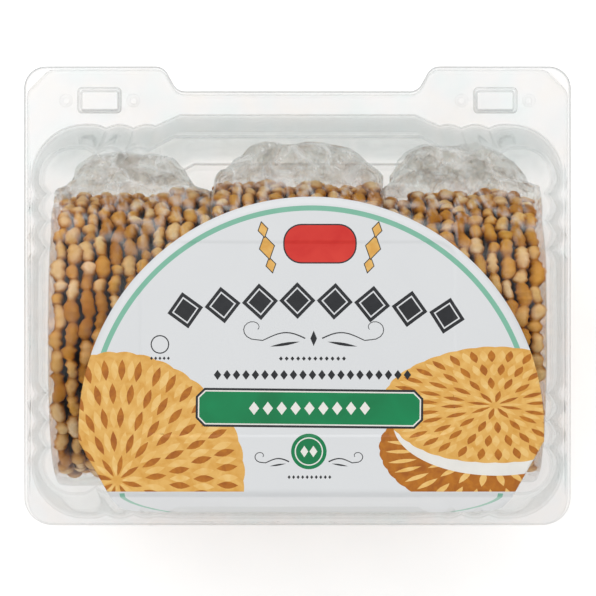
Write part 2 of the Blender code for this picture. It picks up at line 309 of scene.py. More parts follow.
def section(level, inset):
    """The cavity's outline at one height, anticlockwise from the left end of the hinge side.

    level is 0 at the mouth and 1 at the panel."""
    half_x = mix(MOUTH_HALF[0], PANEL_HALF[0], level) - inset
    half_y = mix(MOUTH_HALF[1], PANEL_HALF[1], level) - inset
    centre_y = mix(MOUTH_CENTRE_Y, PANEL_CENTRE_Y, level)
    corner = mix(MOUTH_CORNER, PANEL_CORNER, level) - inset
    stretch_x = (half_x - corner) / (MOUTH_HALF[0] - MOUTH_CORNER)
    stretch_y = (half_y - corner) / (MOUTH_HALF[1] - MOUTH_CORNER)
    points = []
    for sign, start in ((1, -90), (-1, 90)):
        for station in END_STATIONS:
            reach = half_y + end_relief(station, -sign, level)
            points.append((sign * station * stretch_x, centre_y - sign * reach))
        near, far = (centre_y + side * sign * (half_y - corner) for side in (-1, 1))
        centre_x = sign * (half_x - corner)
        points += quarter_arc((centre_x, near), corner, start, CORNER_STEPS)
        points += [(sign * (half_x + side_relief(station, level)),
                    centre_y + sign * station * stretch_y) for station in SIDE_STATIONS]
        points += quarter_arc((centre_x, far), corner, start + 90, CORNER_STEPS)
    return points


def flange_outline(inset, chamfer, border=0.0):
    """The flange with its two tabs, border inside its edge; a chamfer cuts the tabs' corners."""
    half_x = PACK_WIDTH / 2 - inset - border
    top = PACK_LENGTH / 2 - inset - border
    hinge = border + HINGE_MARGIN - PACK_LENGTH / 2
    lean = border * TAB_LEAN
    if chamfer:
        outer = [(half_x, top - chamfer, chamfer / 2), (half_x - chamfer, top, chamfer / 2)]
    else:
        outer = [(half_x, top, TAB_CORNER - border)]
    inner = [(TAB_INNER_X + lean, top, TAB_BEND - border),
             (TAB_FOOT_X + lean, top - TAB_RISE, TAB_BEND + border)]
    right = [(half_x, hinge, HINGE_CORNER - border)] + outer + inner
    left = [(-x, y, radius) for x, y, radius in reversed(right)]
    straight = half_x - HINGE_CORNER + border
    count = round(2 * straight / HINGE_STEP)
    fold = [(mix(-straight, straight, i / count), hinge) for i in range(1, count)]
    return rounded_polygon(right + left) + fold


def pressed_shape(bm, outline_at, rise, floor, edge_shade):
    """A low raised form in a flat face, from its outline at an inset. Returns the face's hole."""
    # painted shade: a dark line along the foot of the shape, fading up its side
    levels = [(-FLAT_BORDER / 2, 0, 0), (0, 0, edge_shade)]
    for share in (1 / 3, 2 / 3, 1):
        turn = share * pi / 2
        levels.append((BUTTON_DRAFT * (1 - cos(turn)) * (1 + share) / 2,
                       rise * sin(turn), edge_shade * (1 - share)))
    levels.append((BUTTON_DRAFT + FLAT_BORDER / 2, rise, 0))
    rings = [ring(bm, at_height(outline_at(inset), floor + height), crease_shade_and_glint)
             for inset, height, crease_shade_and_glint in levels]
    loft(bm, rings)
    bm.faces.new(rings[-1])
    return rings[0]


def lock_details(bm, floor, play):
    """The buttons and dimples of both tabs. Returns the holes that they need in the flange."""
    holes = []
    for sign in (1, -1):
        centre = (sign * BUTTON_CENTRE[0], BUTTON_CENTRE[1])

        def button(inset):
            half = [size / 2 - play - inset for size in BUTTON_SIZE]
            return rounded_rectangle(centre, half, max(BUTTON_CORNER - inset, 0.05 * MM), 3)

        holes.append(pressed_shape(bm, button, BUTTON_RISE - play, floor, 0.7))
        for side in (1, -1):
            place = (centre[0] + side * DIMPLE_REACH, centre[1])

            def dimple(inset):
                radius = DIMPLE_RADIUS - play - inset
                return rounded_rectangle(place, (radius, radius), radius * 0.98, 4)

            holes.append(pressed_shape(bm, dimple, DIMPLE_RISE, floor, 0.1))
    return holes


def hinge_relief(x, y):
    """Height of the small slanted ridges pressed across the fold at the hinge."""
    if y > -PACK_LENGTH / 2 + HINGE_STRIP:
        return 0
    along = x - HINGE_SLANT * (y + PACK_LENGTH / 2)
    nearest = round(along / HINGE_PITCH - 0.5) + 0.5
    if abs(nearest) > HINGE_NOTCHES / 2:
        return 0
    return HINGE_RISE * ease(1 - abs(along - nearest * HINGE_PITCH) / HINGE_RIDGE)


def wall_steps(depth):
    """Heights, insets and painted dark lines of a tray's rings, from the flange to the panel."""
    steps = [(0, -MOUTH_FILLET - FLAT_BORDER, 0)]
    # painted shade: a dark line in the middle of the mouth's fillet and of the panel's fillet
    for i in range(FILLET_STEPS):
        angle = pi / 2 * i / FILLET_STEPS
        steps.append((MOUTH_FILLET * (1 - cos(angle)),
                      -MOUTH_FILLET * (1 - sin(angle)), 0.5 if i == 2 else 0))
    for i in range(WALL_STEPS + 1):
        steps.append((mix(MOUTH_FILLET, depth - PANEL_FILLET, i / WALL_STEPS), 0, 0))
    for i in range(1, FILLET_STEPS + 1):
        angle = pi / 2 * i / FILLET_STEPS
        steps.append((depth - PANEL_FILLET * (1 - sin(angle)),
                      PANEL_FILLET * (1 - cos(angle)), 1.0 if i == 2 else 0))
    steps.append((depth, PANEL_FILLET + FLAT_BORDER, 0))
    return steps


def close_panel(bm, edge_ring, height, recessed):
    """Fills the panel, with the shallow recess in it if asked."""
    if not recessed:
        bm.faces.new(edge_ring)
        return
    rings = []
    # painted shade: a dark line round the slope of the recess
    for depth, inset, crease_shade_and_glint in ((0, -FLAT_BORDER, 0), (0, 0, 0), (0.4, 0.35, 1), (0.8, 0.6, 0.4),
                                 (1, 1.1, 0), (1, 1.8, 0)):
        outline = rounded_rectangle((0, RECESS_CENTRE_Y),
                                    [half - inset * RECESS_DEPTH for half in RECESS_HALF],
                                    RECESS_CORNER - inset * RECESS_DEPTH)
        rings.append(ring(bm, at_height(outline, height - depth * RECESS_DEPTH), crease_shade_and_glint))
    fill_between(bm, edge_ring, [rings[0]])
    loft(bm, rings)
    bm.faces.new(rings[-1])


def tray(name, node, mouth_z, depth, way, plastic):
    """One half of the clamshell, from its inner surface thickened outward."""
    is_lid = way > 0
    inset = LID_INSET if is_lid else 0
    chamfer = LID_TAB_CHAMFER if is_lid else 0
    bm = bmesh.new()
    bm.verts.layers.float.new("crease_shade_and_glint")
    haze_and_wall_shade = bm.verts.layers.float.new("haze_and_wall_shade")
    rings = []
    for height, ring_inset, crease_shade_and_glint in wall_steps(depth):
        outline = section(height / depth, ring_inset)
        rings.append(ring(bm, at_height(outline, mouth_z + way * height), crease_shade_and_glint))
        # painted shade: the walls on the tabs' side are tinted greyer
        on_wall = ease(4 * min(height, depth - height) / depth)
        for vert in rings[-1]:
            vert[haze_and_wall_shade] = on_wall * ease((vert.co.y - SHADED_WALL_START) / (14 * MM))
    loft(bm, rings)
    close_panel(bm, rings[-1], mouth_z + way * depth, is_lid)
    edge_rings = []
    # painted shade: a dark line along the flange's rim, fainter on the lid
    for border, drop, crease_shade_and_glint in ((0, LIP_DROP / 2, 1), (LIP_WIDTH, 0, 0.3),
                                 (LIP_WIDTH + FLAT_BORDER, 0, 0)):
        points = [(x, y, mouth_z - drop + hinge_relief(x, y))
                  for x, y in flange_outline(inset, chamfer, border)]
        edge_rings.append(ring(bm, points, crease_shade_and_glint * (0.25 if is_lid else 1)))
    loft(bm, edge_rings)
    holes = [rings[0]] + lock_details(bm, mouth_z, 0 if is_lid else BUTTON_PLAY)
    fill_between(bm, edge_rings[-1], holes)
    # the painted dark lines are strongest on the tabs' side
    crease_shade_layer = bm.verts.layers.float["crease_shade_and_glint"]
    for vert in bm.verts:
        vert[crease_shade_layer] *= mix(FAINT_CREASE_SHADE, 1, ease((vert.co.y - SHADED_WALL_START) / (15 * MM)))
    face_outward(bm, upward=is_lid)
    piece = new_sheet(name, bm, 32, [plastic], node, WALL)
    piece.visible_shadow = False


# ---- label

LABEL_CENTRE_X = 4.6 * MM
LABEL_CENTRE_Y = -44.3 * MM
LABEL_RADIUS = 77.2 * MM
LABEL_FOOT_HALF = 67 * MM
LABEL_FOOT_DROP = 44 * MM
LABEL_CUT_RISE = 18 * MM
LABEL_THICK = 0.15 * MM
LABEL_GAP = 0.35 * MM
BEND_RADIUS = PANEL_FILLET + WALL + LABEL_GAP
BEND_LINES = 8
EMBOSS_DROP = 0.22 * MM
BEND_TURN = pi / 2 - WALL_LEAN
BEND_HALF = BEND_RADIUS * BEND_TURN / 2  # half the length of paper in the fold
BEND_TANGENT = BEND_RADIUS * tan(BEND_TURN / 2)
PAPER_OUT = WALL + LABEL_GAP
# Where the plane of the paper on the panel meets its plane on the wall
PAPER_EDGE_Y = (PANEL_CENTRE_Y - PANEL_HALF[1]
                - PAPER_OUT * (1 - sin(WALL_LEAN)) / cos(WALL_LEAN))


def fold_paper(across, along):
    """A point of the flat paper on the pack: along is 0 at the fold and negative on the wall."""
    top = LID_TOP + LABEL_GAP
    if along >= BEND_HALF:
        return across, PAPER_EDGE_Y + BEND_TANGENT + along - BEND_HALF, top
    if along <= -BEND_HALF:
        reach = BEND_TANGENT - along - BEND_HALF
        return (across, PAPER_EDGE_Y - reach * sin(WALL_LEAN),
                top - reach * cos(WALL_LEAN))
    angle = (BEND_HALF - along) / BEND_RADIUS
    return (across, PAPER_EDGE_Y + BEND_TANGENT - BEND_RADIUS * sin(angle),
            top - BEND_RADIUS * (1 - cos(angle)))


def paper_y(y):
    """The paper's own coordinate of a point on the panel."""
    return y - PAPER_EDGE_Y - BEND_TANGENT + BEND_HALF


def circle(centre, radius, count=96, start=0.0, end=2 * pi, squash=1.0):
    closed = end - start > 6.28
    steps = count if closed else count - 1
    return [(centre[0] + radius * cos(mix(start, end, i / steps)),
             centre[1] + radius * squash * sin(mix(start, end, i / steps)))
            for i in range(count)]


def paper_outline():
    """The label's outline on the flat paper: a disc, two slanted cuts and a rounded foot."""
    middle = paper_y(LABEL_CENTRE_Y)
    points = [(LABEL_RADIUS * cos(pi * i / 120),
               middle + LABEL_RADIUS * sin(pi * i / 120)) for i in range(121)]
    points.append((-LABEL_RADIUS, LABEL_CUT_RISE))
    steps = 60
    for i in range(steps + 1):
        angle = pi + pi * i / steps
        x, y = cos(angle), sin(angle)
        points.append((LABEL_FOOT_HALF * copysign(abs(x) ** 0.25, x),
                       -LABEL_FOOT_DROP * abs(y) ** 0.25))
    points.append((LABEL_RADIUS, LABEL_CUT_RISE))
    return [(LABEL_CENTRE_X + x, y) for x, y in points]


# ---- print on the label

RING_RADII = mm(74.3, 72.6)
# The ring goes on down the foot: how far out it is at each distance below the fold
FOOT_RING = mm(62.6, 62.0, 60.6, 58.2, 54.6, 50.0)
FOOT_RING_STEPS = mm(0.6, -8, -17, -26, -35, -43.0)
LINE = 0.45 * MM
TITLE_CENTRE = mm(6.2, 64.5)
TITLE_MOTIFS = 8
TITLE_PITCH = 12.4 * MM
TITLE_HEIGHT = 12.6 * MM
TITLE_ARCH = 230 * MM  # radius of the arc on which the title's motifs stand
TITLE_TILT = radians(-1.2)
BADGE_CENTRE = mm(7.5, 83.4)
BADGE_HALF = mm(12.2, 6.6)
PENDANT_REACH = 17.6 * MM
SCROLL_CENTRE = mm(5.4, 52.0)
MARK_CENTRE = mm(-45.6, 50.0)
# Rows of small lozenges: centre, count, size of each, and pitch
SMALL_ROWS = ((mm(5.0, 45.3), 12, mm(1.3, 1.5), 1.9 * MM),
              (mm(5.0, 39.9), 21, mm(2.5, 3.3), 3.15 * MM),
              (mm(4.0, 6.0), 10, mm(1.0, 1.3), 1.5 * MM),
              (mm(-45.6, 45.4), 5, mm(1.0, 1.2), 1.4 * MM))
BANNER_CENTRE = mm(4.0, 28.8)
BANNER_HALF = mm(37.0, 5.7)
BANNER_CUT = 2.4 * MM
DISC_CENTRE = mm(3.8, 14.5)
DISC_RADIUS = 5.9 * MM
PICTURE_LEFT = mm(-59.9, 4.8)
PICTURE_LEFT_RADIUS = 42 * MM
PICTURE_RIGHT = mm(65.5, 29.8)
PICTURE_RIGHT_RADIUS = 36.8 * MM
PICTURE_RIGHT_SQUASH = 0.52
PRINT_FOOT = 1.2 * MM  # the pictures end this far above the fold
PAPER_REACH = 90 * MM  # past the label's sides


def stroke(points, widths):
    """The outline of a line through the points; widths is one number, or one for each point."""
    if not isinstance(widths, list):
        widths = [widths] * len(points)
    left, right = [], []
    for i, (x, y) in enumerate(points):
        ahead = points[min(i + 1, len(points) - 1)]
        behind = points[max(i - 1, 0)]
        heading = atan2(ahead[1] - behind[1], ahead[0] - behind[0])
        dx, dy = -sin(heading) * widths[i] / 2, cos(heading) * widths[i] / 2
        left.append((x + dx, y + dy))
        right.append((x - dx, y - dy))
    return right + left[::-1]


def lens(centre, length, width, angle, steps=5):
    """A pointed leaf shape along an angle."""
    points = []
    for way in (1, -1):
        for i in range(steps):
            share = i / steps
            along = way * (2 * share - 1) * length / 2
            off = -way * width / 2 * sin(pi * share)
            points.append((centre[0] + along * cos(angle) - off * sin(angle),
                           centre[1] + along * sin(angle) + off * cos(angle)))
    return points


def moved(points, centre, tilt=0.0, mirror=1):
    """Points drawn round the origin, mirrored in X if asked, turned and moved."""
    turned = [(mirror * x * cos(tilt) - y * sin(tilt) + centre[0],
               mirror * x * sin(tilt) + y * cos(tilt) + centre[1])
              for x, y in points]
    return turned[::-1] if mirror < 0 else turned


def ring_arc(centre, start, end, count):
    outer = circle(centre, RING_RADII[0], count, start, end)
    inner = circle(centre, RING_RADII[1], count, start, end)
    return outer + inner[::-1]


def scroll(scale, mirror, centre, tilt=0.0):
    """One half of a scrolled ornament: an S-line that ends in a curl, and a short leaf."""
    line = []
    for i in range(31):
        share = i / 30
        if share < 0.55:
            x = 2.5 + 13 * share / 0.55
            y = 1.7 * sin(pi * 1.15 * share / 0.55)
        else:
            turn = (share - 0.55) / 0.45
            angle = -pi * 0.62 + turn * pi * 1.75
            radius = mix(4.2, 1.1, turn)
            x = 17.6 + radius * cos(angle)
            y = 3.0 + radius * 0.85 * sin(angle)
        line.append((x * scale, y * scale))
    widths = [LINE * mix(1.0, 0.5, i / 30) for i in range(31)]
    shapes = [moved(stroke(line, widths), centre, tilt, mirror)]
    leaf = lens((8.5 * scale, -1.7 * scale), 9 * scale, 0.9 * scale, -0.16)
    shapes.append(moved(leaf, centre, tilt, mirror))
    return shapes


def lozenge(width, height, share=1):
    return [(0, -height / 2 * share), (width / 2 * share, 0),
            (0, height / 2 * share), (-width / 2 * share, 0)]


def title_motifs():
    """Dark lozenges on an arch, each with a pale inner line, as a plain ornament."""
    shapes = []
    for i in range(TITLE_MOTIFS):
        step = (i - (TITLE_MOTIFS - 1) / 2) * TITLE_PITCH
        angle = -step / TITLE_ARCH
        centre = (TITLE_CENTRE[0] + step,
                  TITLE_CENTRE[1] + TITLE_ARCH * (cos(angle) - 1)
                  + tan(TITLE_TILT) * step)
        for share, ink in ((0.97, "ink"), (0.72, "paper"), (0.62, "ink")):
            shapes.append((ink, moved(lozenge(TITLE_PITCH, TITLE_HEIGHT, share), centre,
                                      angle + TITLE_TILT)))
    return shapes


def rosette(centre, radius, squash, rows, chance):
    """Radial leaves in rows on a pictured wafer: light ridges beside darker grooves."""
    shapes = []
    for row, count in enumerate(rows):
        reach = radius * (row + 0.65) / (len(rows) + 0.15)
        length = radius / (len(rows) + 0.3) * 0.92
        width = 2 * pi * reach / count * 0.42
        for i in range(count):
            angle = 2 * pi * (i + 0.5 * (row % 2) + chance.uniform(-0.08, 0.08)) / count
            for ink, shift in (("gold_dark", -0.30), ("gold_light", 0.12)):
                turn = angle + shift * 2 * pi / count
                leaf = lens((reach * cos(turn), reach * sin(turn)),
                            length, width, turn)
                shapes.append((ink, [(centre[0] + x, centre[1] + y * squash)
                                     for x, y in leaf]))
    return shapes


def scalloped(centre, radius, squash, count):
    points = []
    for i in range(count * 6):
        angle = 2 * pi * i / (count * 6)
        bump = radius * (1 + 0.012 * abs(sin(angle * count / 2)) +
                         0.01 * sin(5 * angle))
        points.append((centre[0] + bump * cos(angle),
                       centre[1] + bump * squash * sin(angle)))
    return points


def shifted(centre, dx, dy):
    return centre[0] + dx, centre[1] + dy


def pictured_wafers():
    """Fields of gold: a wafer at the lower left, and a filled pair at the lower right."""
    chance = random.Random(5)
    shapes = [("gold", scalloped(PICTURE_LEFT, PICTURE_LEFT_RADIUS, 1.0, 40))]
    shapes += rosette(PICTURE_LEFT, PICTURE_LEFT_RADIUS * 0.97, 1.0, (8, 16, 24, 32, 40), chance)
    lower = shifted(PICTURE_RIGHT, -2 * MM, -15 * MM)
    shapes.append(("gold_dark", scalloped(lower, PICTURE_RIGHT_RADIUS * 0.98,
                                          PICTURE_RIGHT_SQUASH, 36)))
    shapes += rosette(lower, PICTURE_RIGHT_RADIUS * 0.95, PICTURE_RIGHT_SQUASH, (8, 20, 32), chance)
    cream = shifted(PICTURE_RIGHT, 0.5 * MM, -6.2 * MM)
    shapes.append(("cream", circle(cream, PICTURE_RIGHT_RADIUS * 0.93, 72, squash=0.5)))
    shapes.append(("gold", scalloped(PICTURE_RIGHT, PICTURE_RIGHT_RADIUS,
                                     PICTURE_RIGHT_SQUASH, 36)))
    shapes += rosette(PICTURE_RIGHT, PICTURE_RIGHT_RADIUS * 0.97, PICTURE_RIGHT_SQUASH,
                      (8, 16, 24, 32), chance)
    return shapes


def banner_outline(border):
    half_x, half_y = BANNER_HALF[0] - border, BANNER_HALF[1] - border
    cut = BANNER_CUT - border * 0.6
    corners = [(half_x - cut, -half_y), (half_x, -half_y + cut), (half_x, half_y - cut),
               (half_x - cut, half_y)]
    points = corners + [(-x, -y) for x, y in corners]
    return moved(points, BANNER_CENTRE, radians(-0.6))


def pendant(place, side):
    """A leaning column of three gold lozenges with dark edges, the middle one the largest."""
    shapes = []
    lean = -side * 0.22
    for along, size in (mm(-6.0, 1.5), mm(0, 2.4), mm(6.0, 1.5)):
        for ink, grown in (("ink", size + 0.35 * MM), ("gold", size)):
            corners = [(0, 1.6 * grown), (-grown, 0), (0, -1.6 * grown), (grown, 0)]
            shapes.append((ink, moved([(x, y + along) for x, y in corners], place, lean)))
    return shapes


def row_of_lozenges(centre, count, size, ink, pitch):
    """A row of plain lozenges, where a line of words would be."""
    return [(ink, moved(lozenge(*size), shifted(centre, (i - (count - 1) / 2) * pitch, 0)))
            for i in range(count)]


def label_print():
    """The print as (ink, outline) pairs on the flat paper, each over those before it."""
    middle = (LABEL_CENTRE_X, paper_y(LABEL_CENTRE_Y))
    shapes = [("paper", paper_outline())]
    shapes.append(("mint", ring_arc(middle, -0.3, pi + 0.3, 120)))
    shapes += pictured_wafers()
    foot = [(-PAPER_REACH, -60 * MM), (PAPER_REACH, -60 * MM), (PAPER_REACH, PRINT_FOOT),
            (-PAPER_REACH, PRINT_FOOT)]
    shapes.append(("paper", foot))
    for side in (1, -1):
        line = [(LABEL_CENTRE_X + side * (half + 0.2 * MM), along)
                for half, along in zip(FOOT_RING, FOOT_RING_STEPS)]
        shapes.append(("mint", stroke(line, RING_RADII[0] - RING_RADII[1])))
    shapes += title_motifs()
    for border, ink in ((0, "ink"), (LINE, "red")):
        half = [size - border for size in BADGE_HALF]
        shapes.append((ink, rounded_rectangle(BADGE_CENTRE, half, half[1] * 0.92, 8)))
    for side in (1, -1):
        shapes += pendant(shifted(BADGE_CENTRE, side * PENDANT_REACH, -1.2 * MM), side)
        for scale, place in ((1.12, SCROLL_CENTRE), (0.62, shifted(DISC_CENTRE, side * 5 * MM,
                                                                    -3.4 * MM))):
            shapes += [("ink", curl) for curl in scroll(scale * MM, side, place)]
    diamond = [mm(-1.1, 0), mm(0, -2.6), mm(1.1, 0), mm(0, 2.6)]
    shapes.append(("ink", moved(diamond, SCROLL_CENTRE)))
    for border, ink in ((-0.75 * MM, "ink"), (0, "cream"), (LINE, "green")):
        shapes.append((ink, banner_outline(border)))
    shapes += row_of_lozenges(BANNER_CENTRE, 9, mm(3.4, 4.4), "cream", 4.6 * MM)
    for radius, ink in ((DISC_RADIUS, "green"), (4.7 * MM, "cream"), (4.3 * MM, "green")):
        shapes.append((ink, circle(DISC_CENTRE, radius, 48)))
    shapes += row_of_lozenges(DISC_CENTRE, 2, mm(2.6, 3.8), "cream", 3.0 * MM)
    for radius, ink in ((3.1 * MM, "ink"), (2.7 * MM, "paper")):
        shapes.append((ink, circle(MARK_CENTRE, radius, 32)))
    for place, count, size, pitch in SMALL_ROWS:
        shapes += row_of_lozenges(place, count, size, "ink", pitch)
    return shapes


def emboss_drop(x, y):
    """How far the paper sinks into the panel's recess at a point of the panel."""
    dx = abs(x) - (RECESS_HALF[0] - RECESS_CORNER)
    dy = abs(y - RECESS_CENTRE_Y) - (RECESS_HALF[1] - RECESS_CORNER)
    outside = hypot(max(dx, 0), max(dy, 0)) + min(max(dx, dy), 0) - RECESS_CORNER
    return EMBOSS_DROP * ease(-outside / (0.9 * MM))


def label_guides():
    """Lines that the paper's faces follow: at the fold and round the recess."""
    points, edges = [], []
    reach = BEND_HALF + 0.4 * MM
    heights = [-reach] + [mix(-BEND_HALF, BEND_HALF, i / BEND_LINES)
                          for i in range(BEND_LINES + 1)]
    for along in heights + [reach]:
        points += [(-PAPER_REACH, along), (PAPER_REACH, along)]
        edges.append((len(points) - 2, len(points) - 1))
    for border in mm(-0.3, 0, 0.45, 0.9, 1.3):
        outline = rounded_rectangle((0, RECESS_CENTRE_Y), [half - border for half in RECESS_HALF],
                                    RECESS_CORNER - border)
        start = len(points)
        points += [(x, paper_y(y)) for x, y in outline]
        edges += [(start + i, start + (i + 1) % len(outline)) for i in range(len(outline))]
    return points, edges


def label(inks):
    """The paper label: its faces are cut along the print's outlines, and then it is folded."""
    shapes = label_print()
    names = list(inks)
    points, edges = label_guides()
    faces = []
    for ink, outline in shapes:
        faces.append(list(range(len(points), len(points) + len(outline))))
        points += outline
    vectors = [Vector((x / MM, y / MM)) for x, y in points]
    made = geometry.delaunay_2d_cdt(vectors, edges, faces, 1, 1e-5)
    verts = []
    for vert in made[0]:
        x, y, z = fold_paper(vert.x * MM, vert.y * MM)
        verts.append((x, y, z - emboss_drop(x, y) * (vert.y > 5)))
    kept = [(face, max(origins)) for face, origins in zip(made[2], made[5]) if 0 in origins]
    mesh = bpy.data.meshes.new("folded_paper")
    mesh.from_pydata(verts, [], [face for face, _ in kept])
    mesh.polygons.foreach_set("material_index", [names.index(shapes[top][0]) for _, top in kept])
    bm = bmesh.new()
    bm.from_mesh(mesh)
    loose = [vert for vert in bm.verts if not vert.link_faces]
    bmesh.ops.delete(bm, geom=loose, context="VERTS")
    bmesh.ops.dissolve_degenerate(bm, edges=bm.edges, dist=0.002 * MM)
    face_outward(bm, upward=True)
    bpy.data.meshes.remove(mesh)
    new_sheet("label_paper", bm, 30, list(inks.values()), "label",
              LABEL_THICK)


# ---- wafers

WAFERS = 34
WAFER_RADIUS = 52.6 * MM
ROW_ENDS = {"left": (1, 11), "middle": (12, 23), "right": (24, 34)}
ROW_SPLAY = 0.028  # the rows spread at their wafers' sides, as a share of X
RIM_COLUMNS = 400
BEAD_LENGTH = mm(3.8, 10.5)
RIM_CORE = 1.4 * MM  # half the rim's thickness in the creases between its beads
RIM_BEAD = mm(0.4, 1.45)
RIM_SWAY = 0.8 * MM  # how far the beads lean to either side by turns
ROW_SWAYS = ((27, 0.3 * MM), (16, 0.35 * MM), (7, 0.3 * MM))  # waves that a row's rims share
RIM_REACH = 1.1 * MM
RIM_CREASE = 1.0 * MM
RIM_ROUGH = 0.16 * MM
RIM_ROUND = 1.7 * MM
RIM_PROFILE = 9
WAFER_WAVE = 0.3 * MM
RELIEF = 0.75 * MM
WAFER_ZONES = ((0.06, 0.24, 8), (0.24, 0.46, 16), (0.46, 0.70, 32), (0.70, 0.93, 48))
FACE_STEP = 0.8 * MM
FACE_SHARES = (0.03, 0.3, 0.6, 0.82, 0.9, 0.95)  # rings of a hidden face, as shares of its radius
# Wafers that are smaller than the rest, and how far each is moved towards the tabs: millimetres
ROUGH_WAFERS = {24: (1.6, -2.0), 25: (1.2, -1.6), 34: (1.5, -1.5), 1: (0.6, -0.6), 18: (0.4, 0.6),
                9: (0.8, 2.0), 10: (1.0, 2.8), 11: (1.0, 2.8)}


class Rim:
    """The beads round one wafer's rim, as arrays over its columns."""

    def __init__(self, radius, phase, chance):
        widths = []
        while sum(widths) < 2 * pi * radius:
            widths.append(chance.uniform(*BEAD_LENGTH))
        ends = np.cumsum(widths) / sum(widths)
        share = np.arange(RIM_COLUMNS) / RIM_COLUMNS
        index = np.searchsorted(ends, share, side="right")
        starts = np.concatenate([[0], ends[:-1]])
        within = (share - starts[index]) / (ends - starts)[index]
        count = len(widths)
        self.bead = np.sin(np.pi * np.clip(within, 0, 1)) ** 0.55
        lean = np.array([(-1) ** i * chance.uniform(0.3, 1) for i in range(count)])
        size = np.array([chance.uniform(*RIM_BEAD) for _ in range(count)])
        reach = np.array([chance.uniform(-1, 1) for _ in range(count)])
        toast = np.array([chance.random() for _ in range(count)])
        self.angle = 2 * np.pi * share
        self.thick = RIM_CORE + size[index] * self.bead
        self.sway = RIM_SWAY * lean[index] * self.bead
        for waves, amount in ROW_SWAYS:
            self.sway = self.sway + amount * np.sin(waves * self.angle + phase * waves)
        self.radius = radius + RIM_REACH * reach[index] * self.bead - RIM_CREASE * (1 - self.bead)
        for _ in range(4):
            waves, turn = chance.randint(70, 150), chance.uniform(0, 2 * pi)
            rough = RIM_ROUGH * np.sin(waves * self.angle + turn)
            self.thick = self.thick + rough
            self.radius = self.radius + 0.6 * np.roll(rough, waves)
        self.toast = toast[index]


def waffle_relief(share, angle):
    """Height of a wafer's radial ridges, as a share of the relief, at a share of its radius."""
    for start, end, count in WAFER_ZONES:
        if start <= share < end:
            window = np.sin(np.pi * (share - start) / (end - start)) ** 0.5
            return window * np.clip(np.cos(count * angle) * 1.6, -0.4, 1)
    return np.zeros_like(angle)


def wafer_rows(rim, side, fine):
    """Rings of one face from its middle out to the rim: radius, height and painted shade depth
    arrays.
    """
    outer = rim.radius - RIM_ROUND
    rows = []
    if fine:
        count = int(np.mean(outer) / FACE_STEP)
        shares = [(i + 0.5) / count for i in range(count)]
    else:
        shares = FACE_SHARES
    for share in shares:
        blend = ease((share - 0.9) / 0.1)
        relief = waffle_relief(share, rim.angle) * fine
        height = mix(RIM_CORE + RELIEF * relief, rim.thick * 0.85, blend)
        # painted shade: darker in the grooves between the ridges, and full on a face hidden between
        # wafers
        hollow_shade = 0.42 - 0.38 * relief if fine else 1
        rows.append((outer * share, side * height + rim.sway * blend,
                     mix(hollow_shade, 0.5, blend)))
    return rows


def splayed(x, y):
    """X of a point of a row: the rows spread a little away from their middle."""
    return x * (1 + ROW_SPLAY * np.clip(abs(y) / WAFER_RADIUS, 0, 1) ** 2)


def wafer_mesh(name, rim, phase, centre, fine_sides):
    """A wafer with its axis along X: face, beaded rim and face, as one closed skin."""
    rows = wafer_rows(rim, -1, fine_sides[0])
    for i in range(RIM_PROFILE):
        tilt = pi * (i / (RIM_PROFILE - 1) - 0.5)
        out = rim.radius - RIM_ROUND * (1 - cos(tilt))
        # painted shade: the rim's flanks darker than its crest
        rows.append((out, rim.thick * sin(tilt) + rim.sway, 0.55 * abs(sin(tilt)) ** 2))
    rows += wafer_rows(rim, 1, fine_sides[1])[::-1]
    radii = np.array([row[0] for row in rows])
    wave = WAFER_WAVE * np.sin(3 * rim.angle + phase) * np.clip(radii / rim.radius, 0, 1)
    heights = np.array([row[1] * np.ones(RIM_COLUMNS) for row in rows]) + wave
    across = radii * np.cos(rim.angle)
    verts = np.stack([splayed(centre.x + heights, across), centre.y + across,
                      centre.z + radii * np.sin(rim.angle)], axis=-1).reshape(-1, 3)
    count = len(rows)
    grid = np.arange(count * RIM_COLUMNS).reshape(count, RIM_COLUMNS)
    after = np.roll(grid, -1, axis=1)
    quads = np.stack([grid[:-1], after[:-1], after[1:], grid[1:]], axis=-1).reshape(-1, 4)
    faces = quads.tolist() + [grid[0][::-1].tolist(), grid[-1].tolist()]
    mesh = bpy.data.meshes.new(name)
    mesh.from_pydata(verts.tolist(), [], faces)
    depth = np.array([row[2] * np.ones(RIM_COLUMNS) for row in rows])
    # painted shade: darker in the creases between the beads
    depth = np.clip(depth + 0.75 * (1 - rim.bead) ** 1.5, 0, 1)
    toast = np.broadcast_to(rim.toast, (count, RIM_COLUMNS))
    # depth holds the painted shade; toast is each bead's own tone
    for label_name, values in (("depth", depth), ("toast", toast)):
        layer = mesh.attributes.new(label_name, "FLOAT", "POINT")
        layer.data.foreach_set("value", values.reshape(-1).astype(np.float32))
    smooth(mesh, 70)
    return mesh


def wafers(crust):
    """Every wafer, in the place of its CAD node, each with beads and a lift of its own."""
    for row, (first, last) in ROW_ENDS.items():
        phase = random.Random(row).uniform(0, 2 * pi)
        for number in range(first, last + 1):
            node = f"wafer_{number:02d}"
            chance = random.Random(number)
            low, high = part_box(node)
            centre = (low + high) / 2
            radius = (high.z - low.z) / 2 - RIM_REACH
            shrink = ROUGH_WAFERS.get(number, (0, 0))
            centre.y += shrink[1] * MM
            rim = Rim(radius - shrink[0] * MM, phase, chance)
            fine = (number == 1, number == WAFERS)
            mesh = wafer_mesh(node + "_baked", rim, phase, centre, fine)
            new_piece(node + "_baked", mesh, [crust], node)


# ---- film pouches

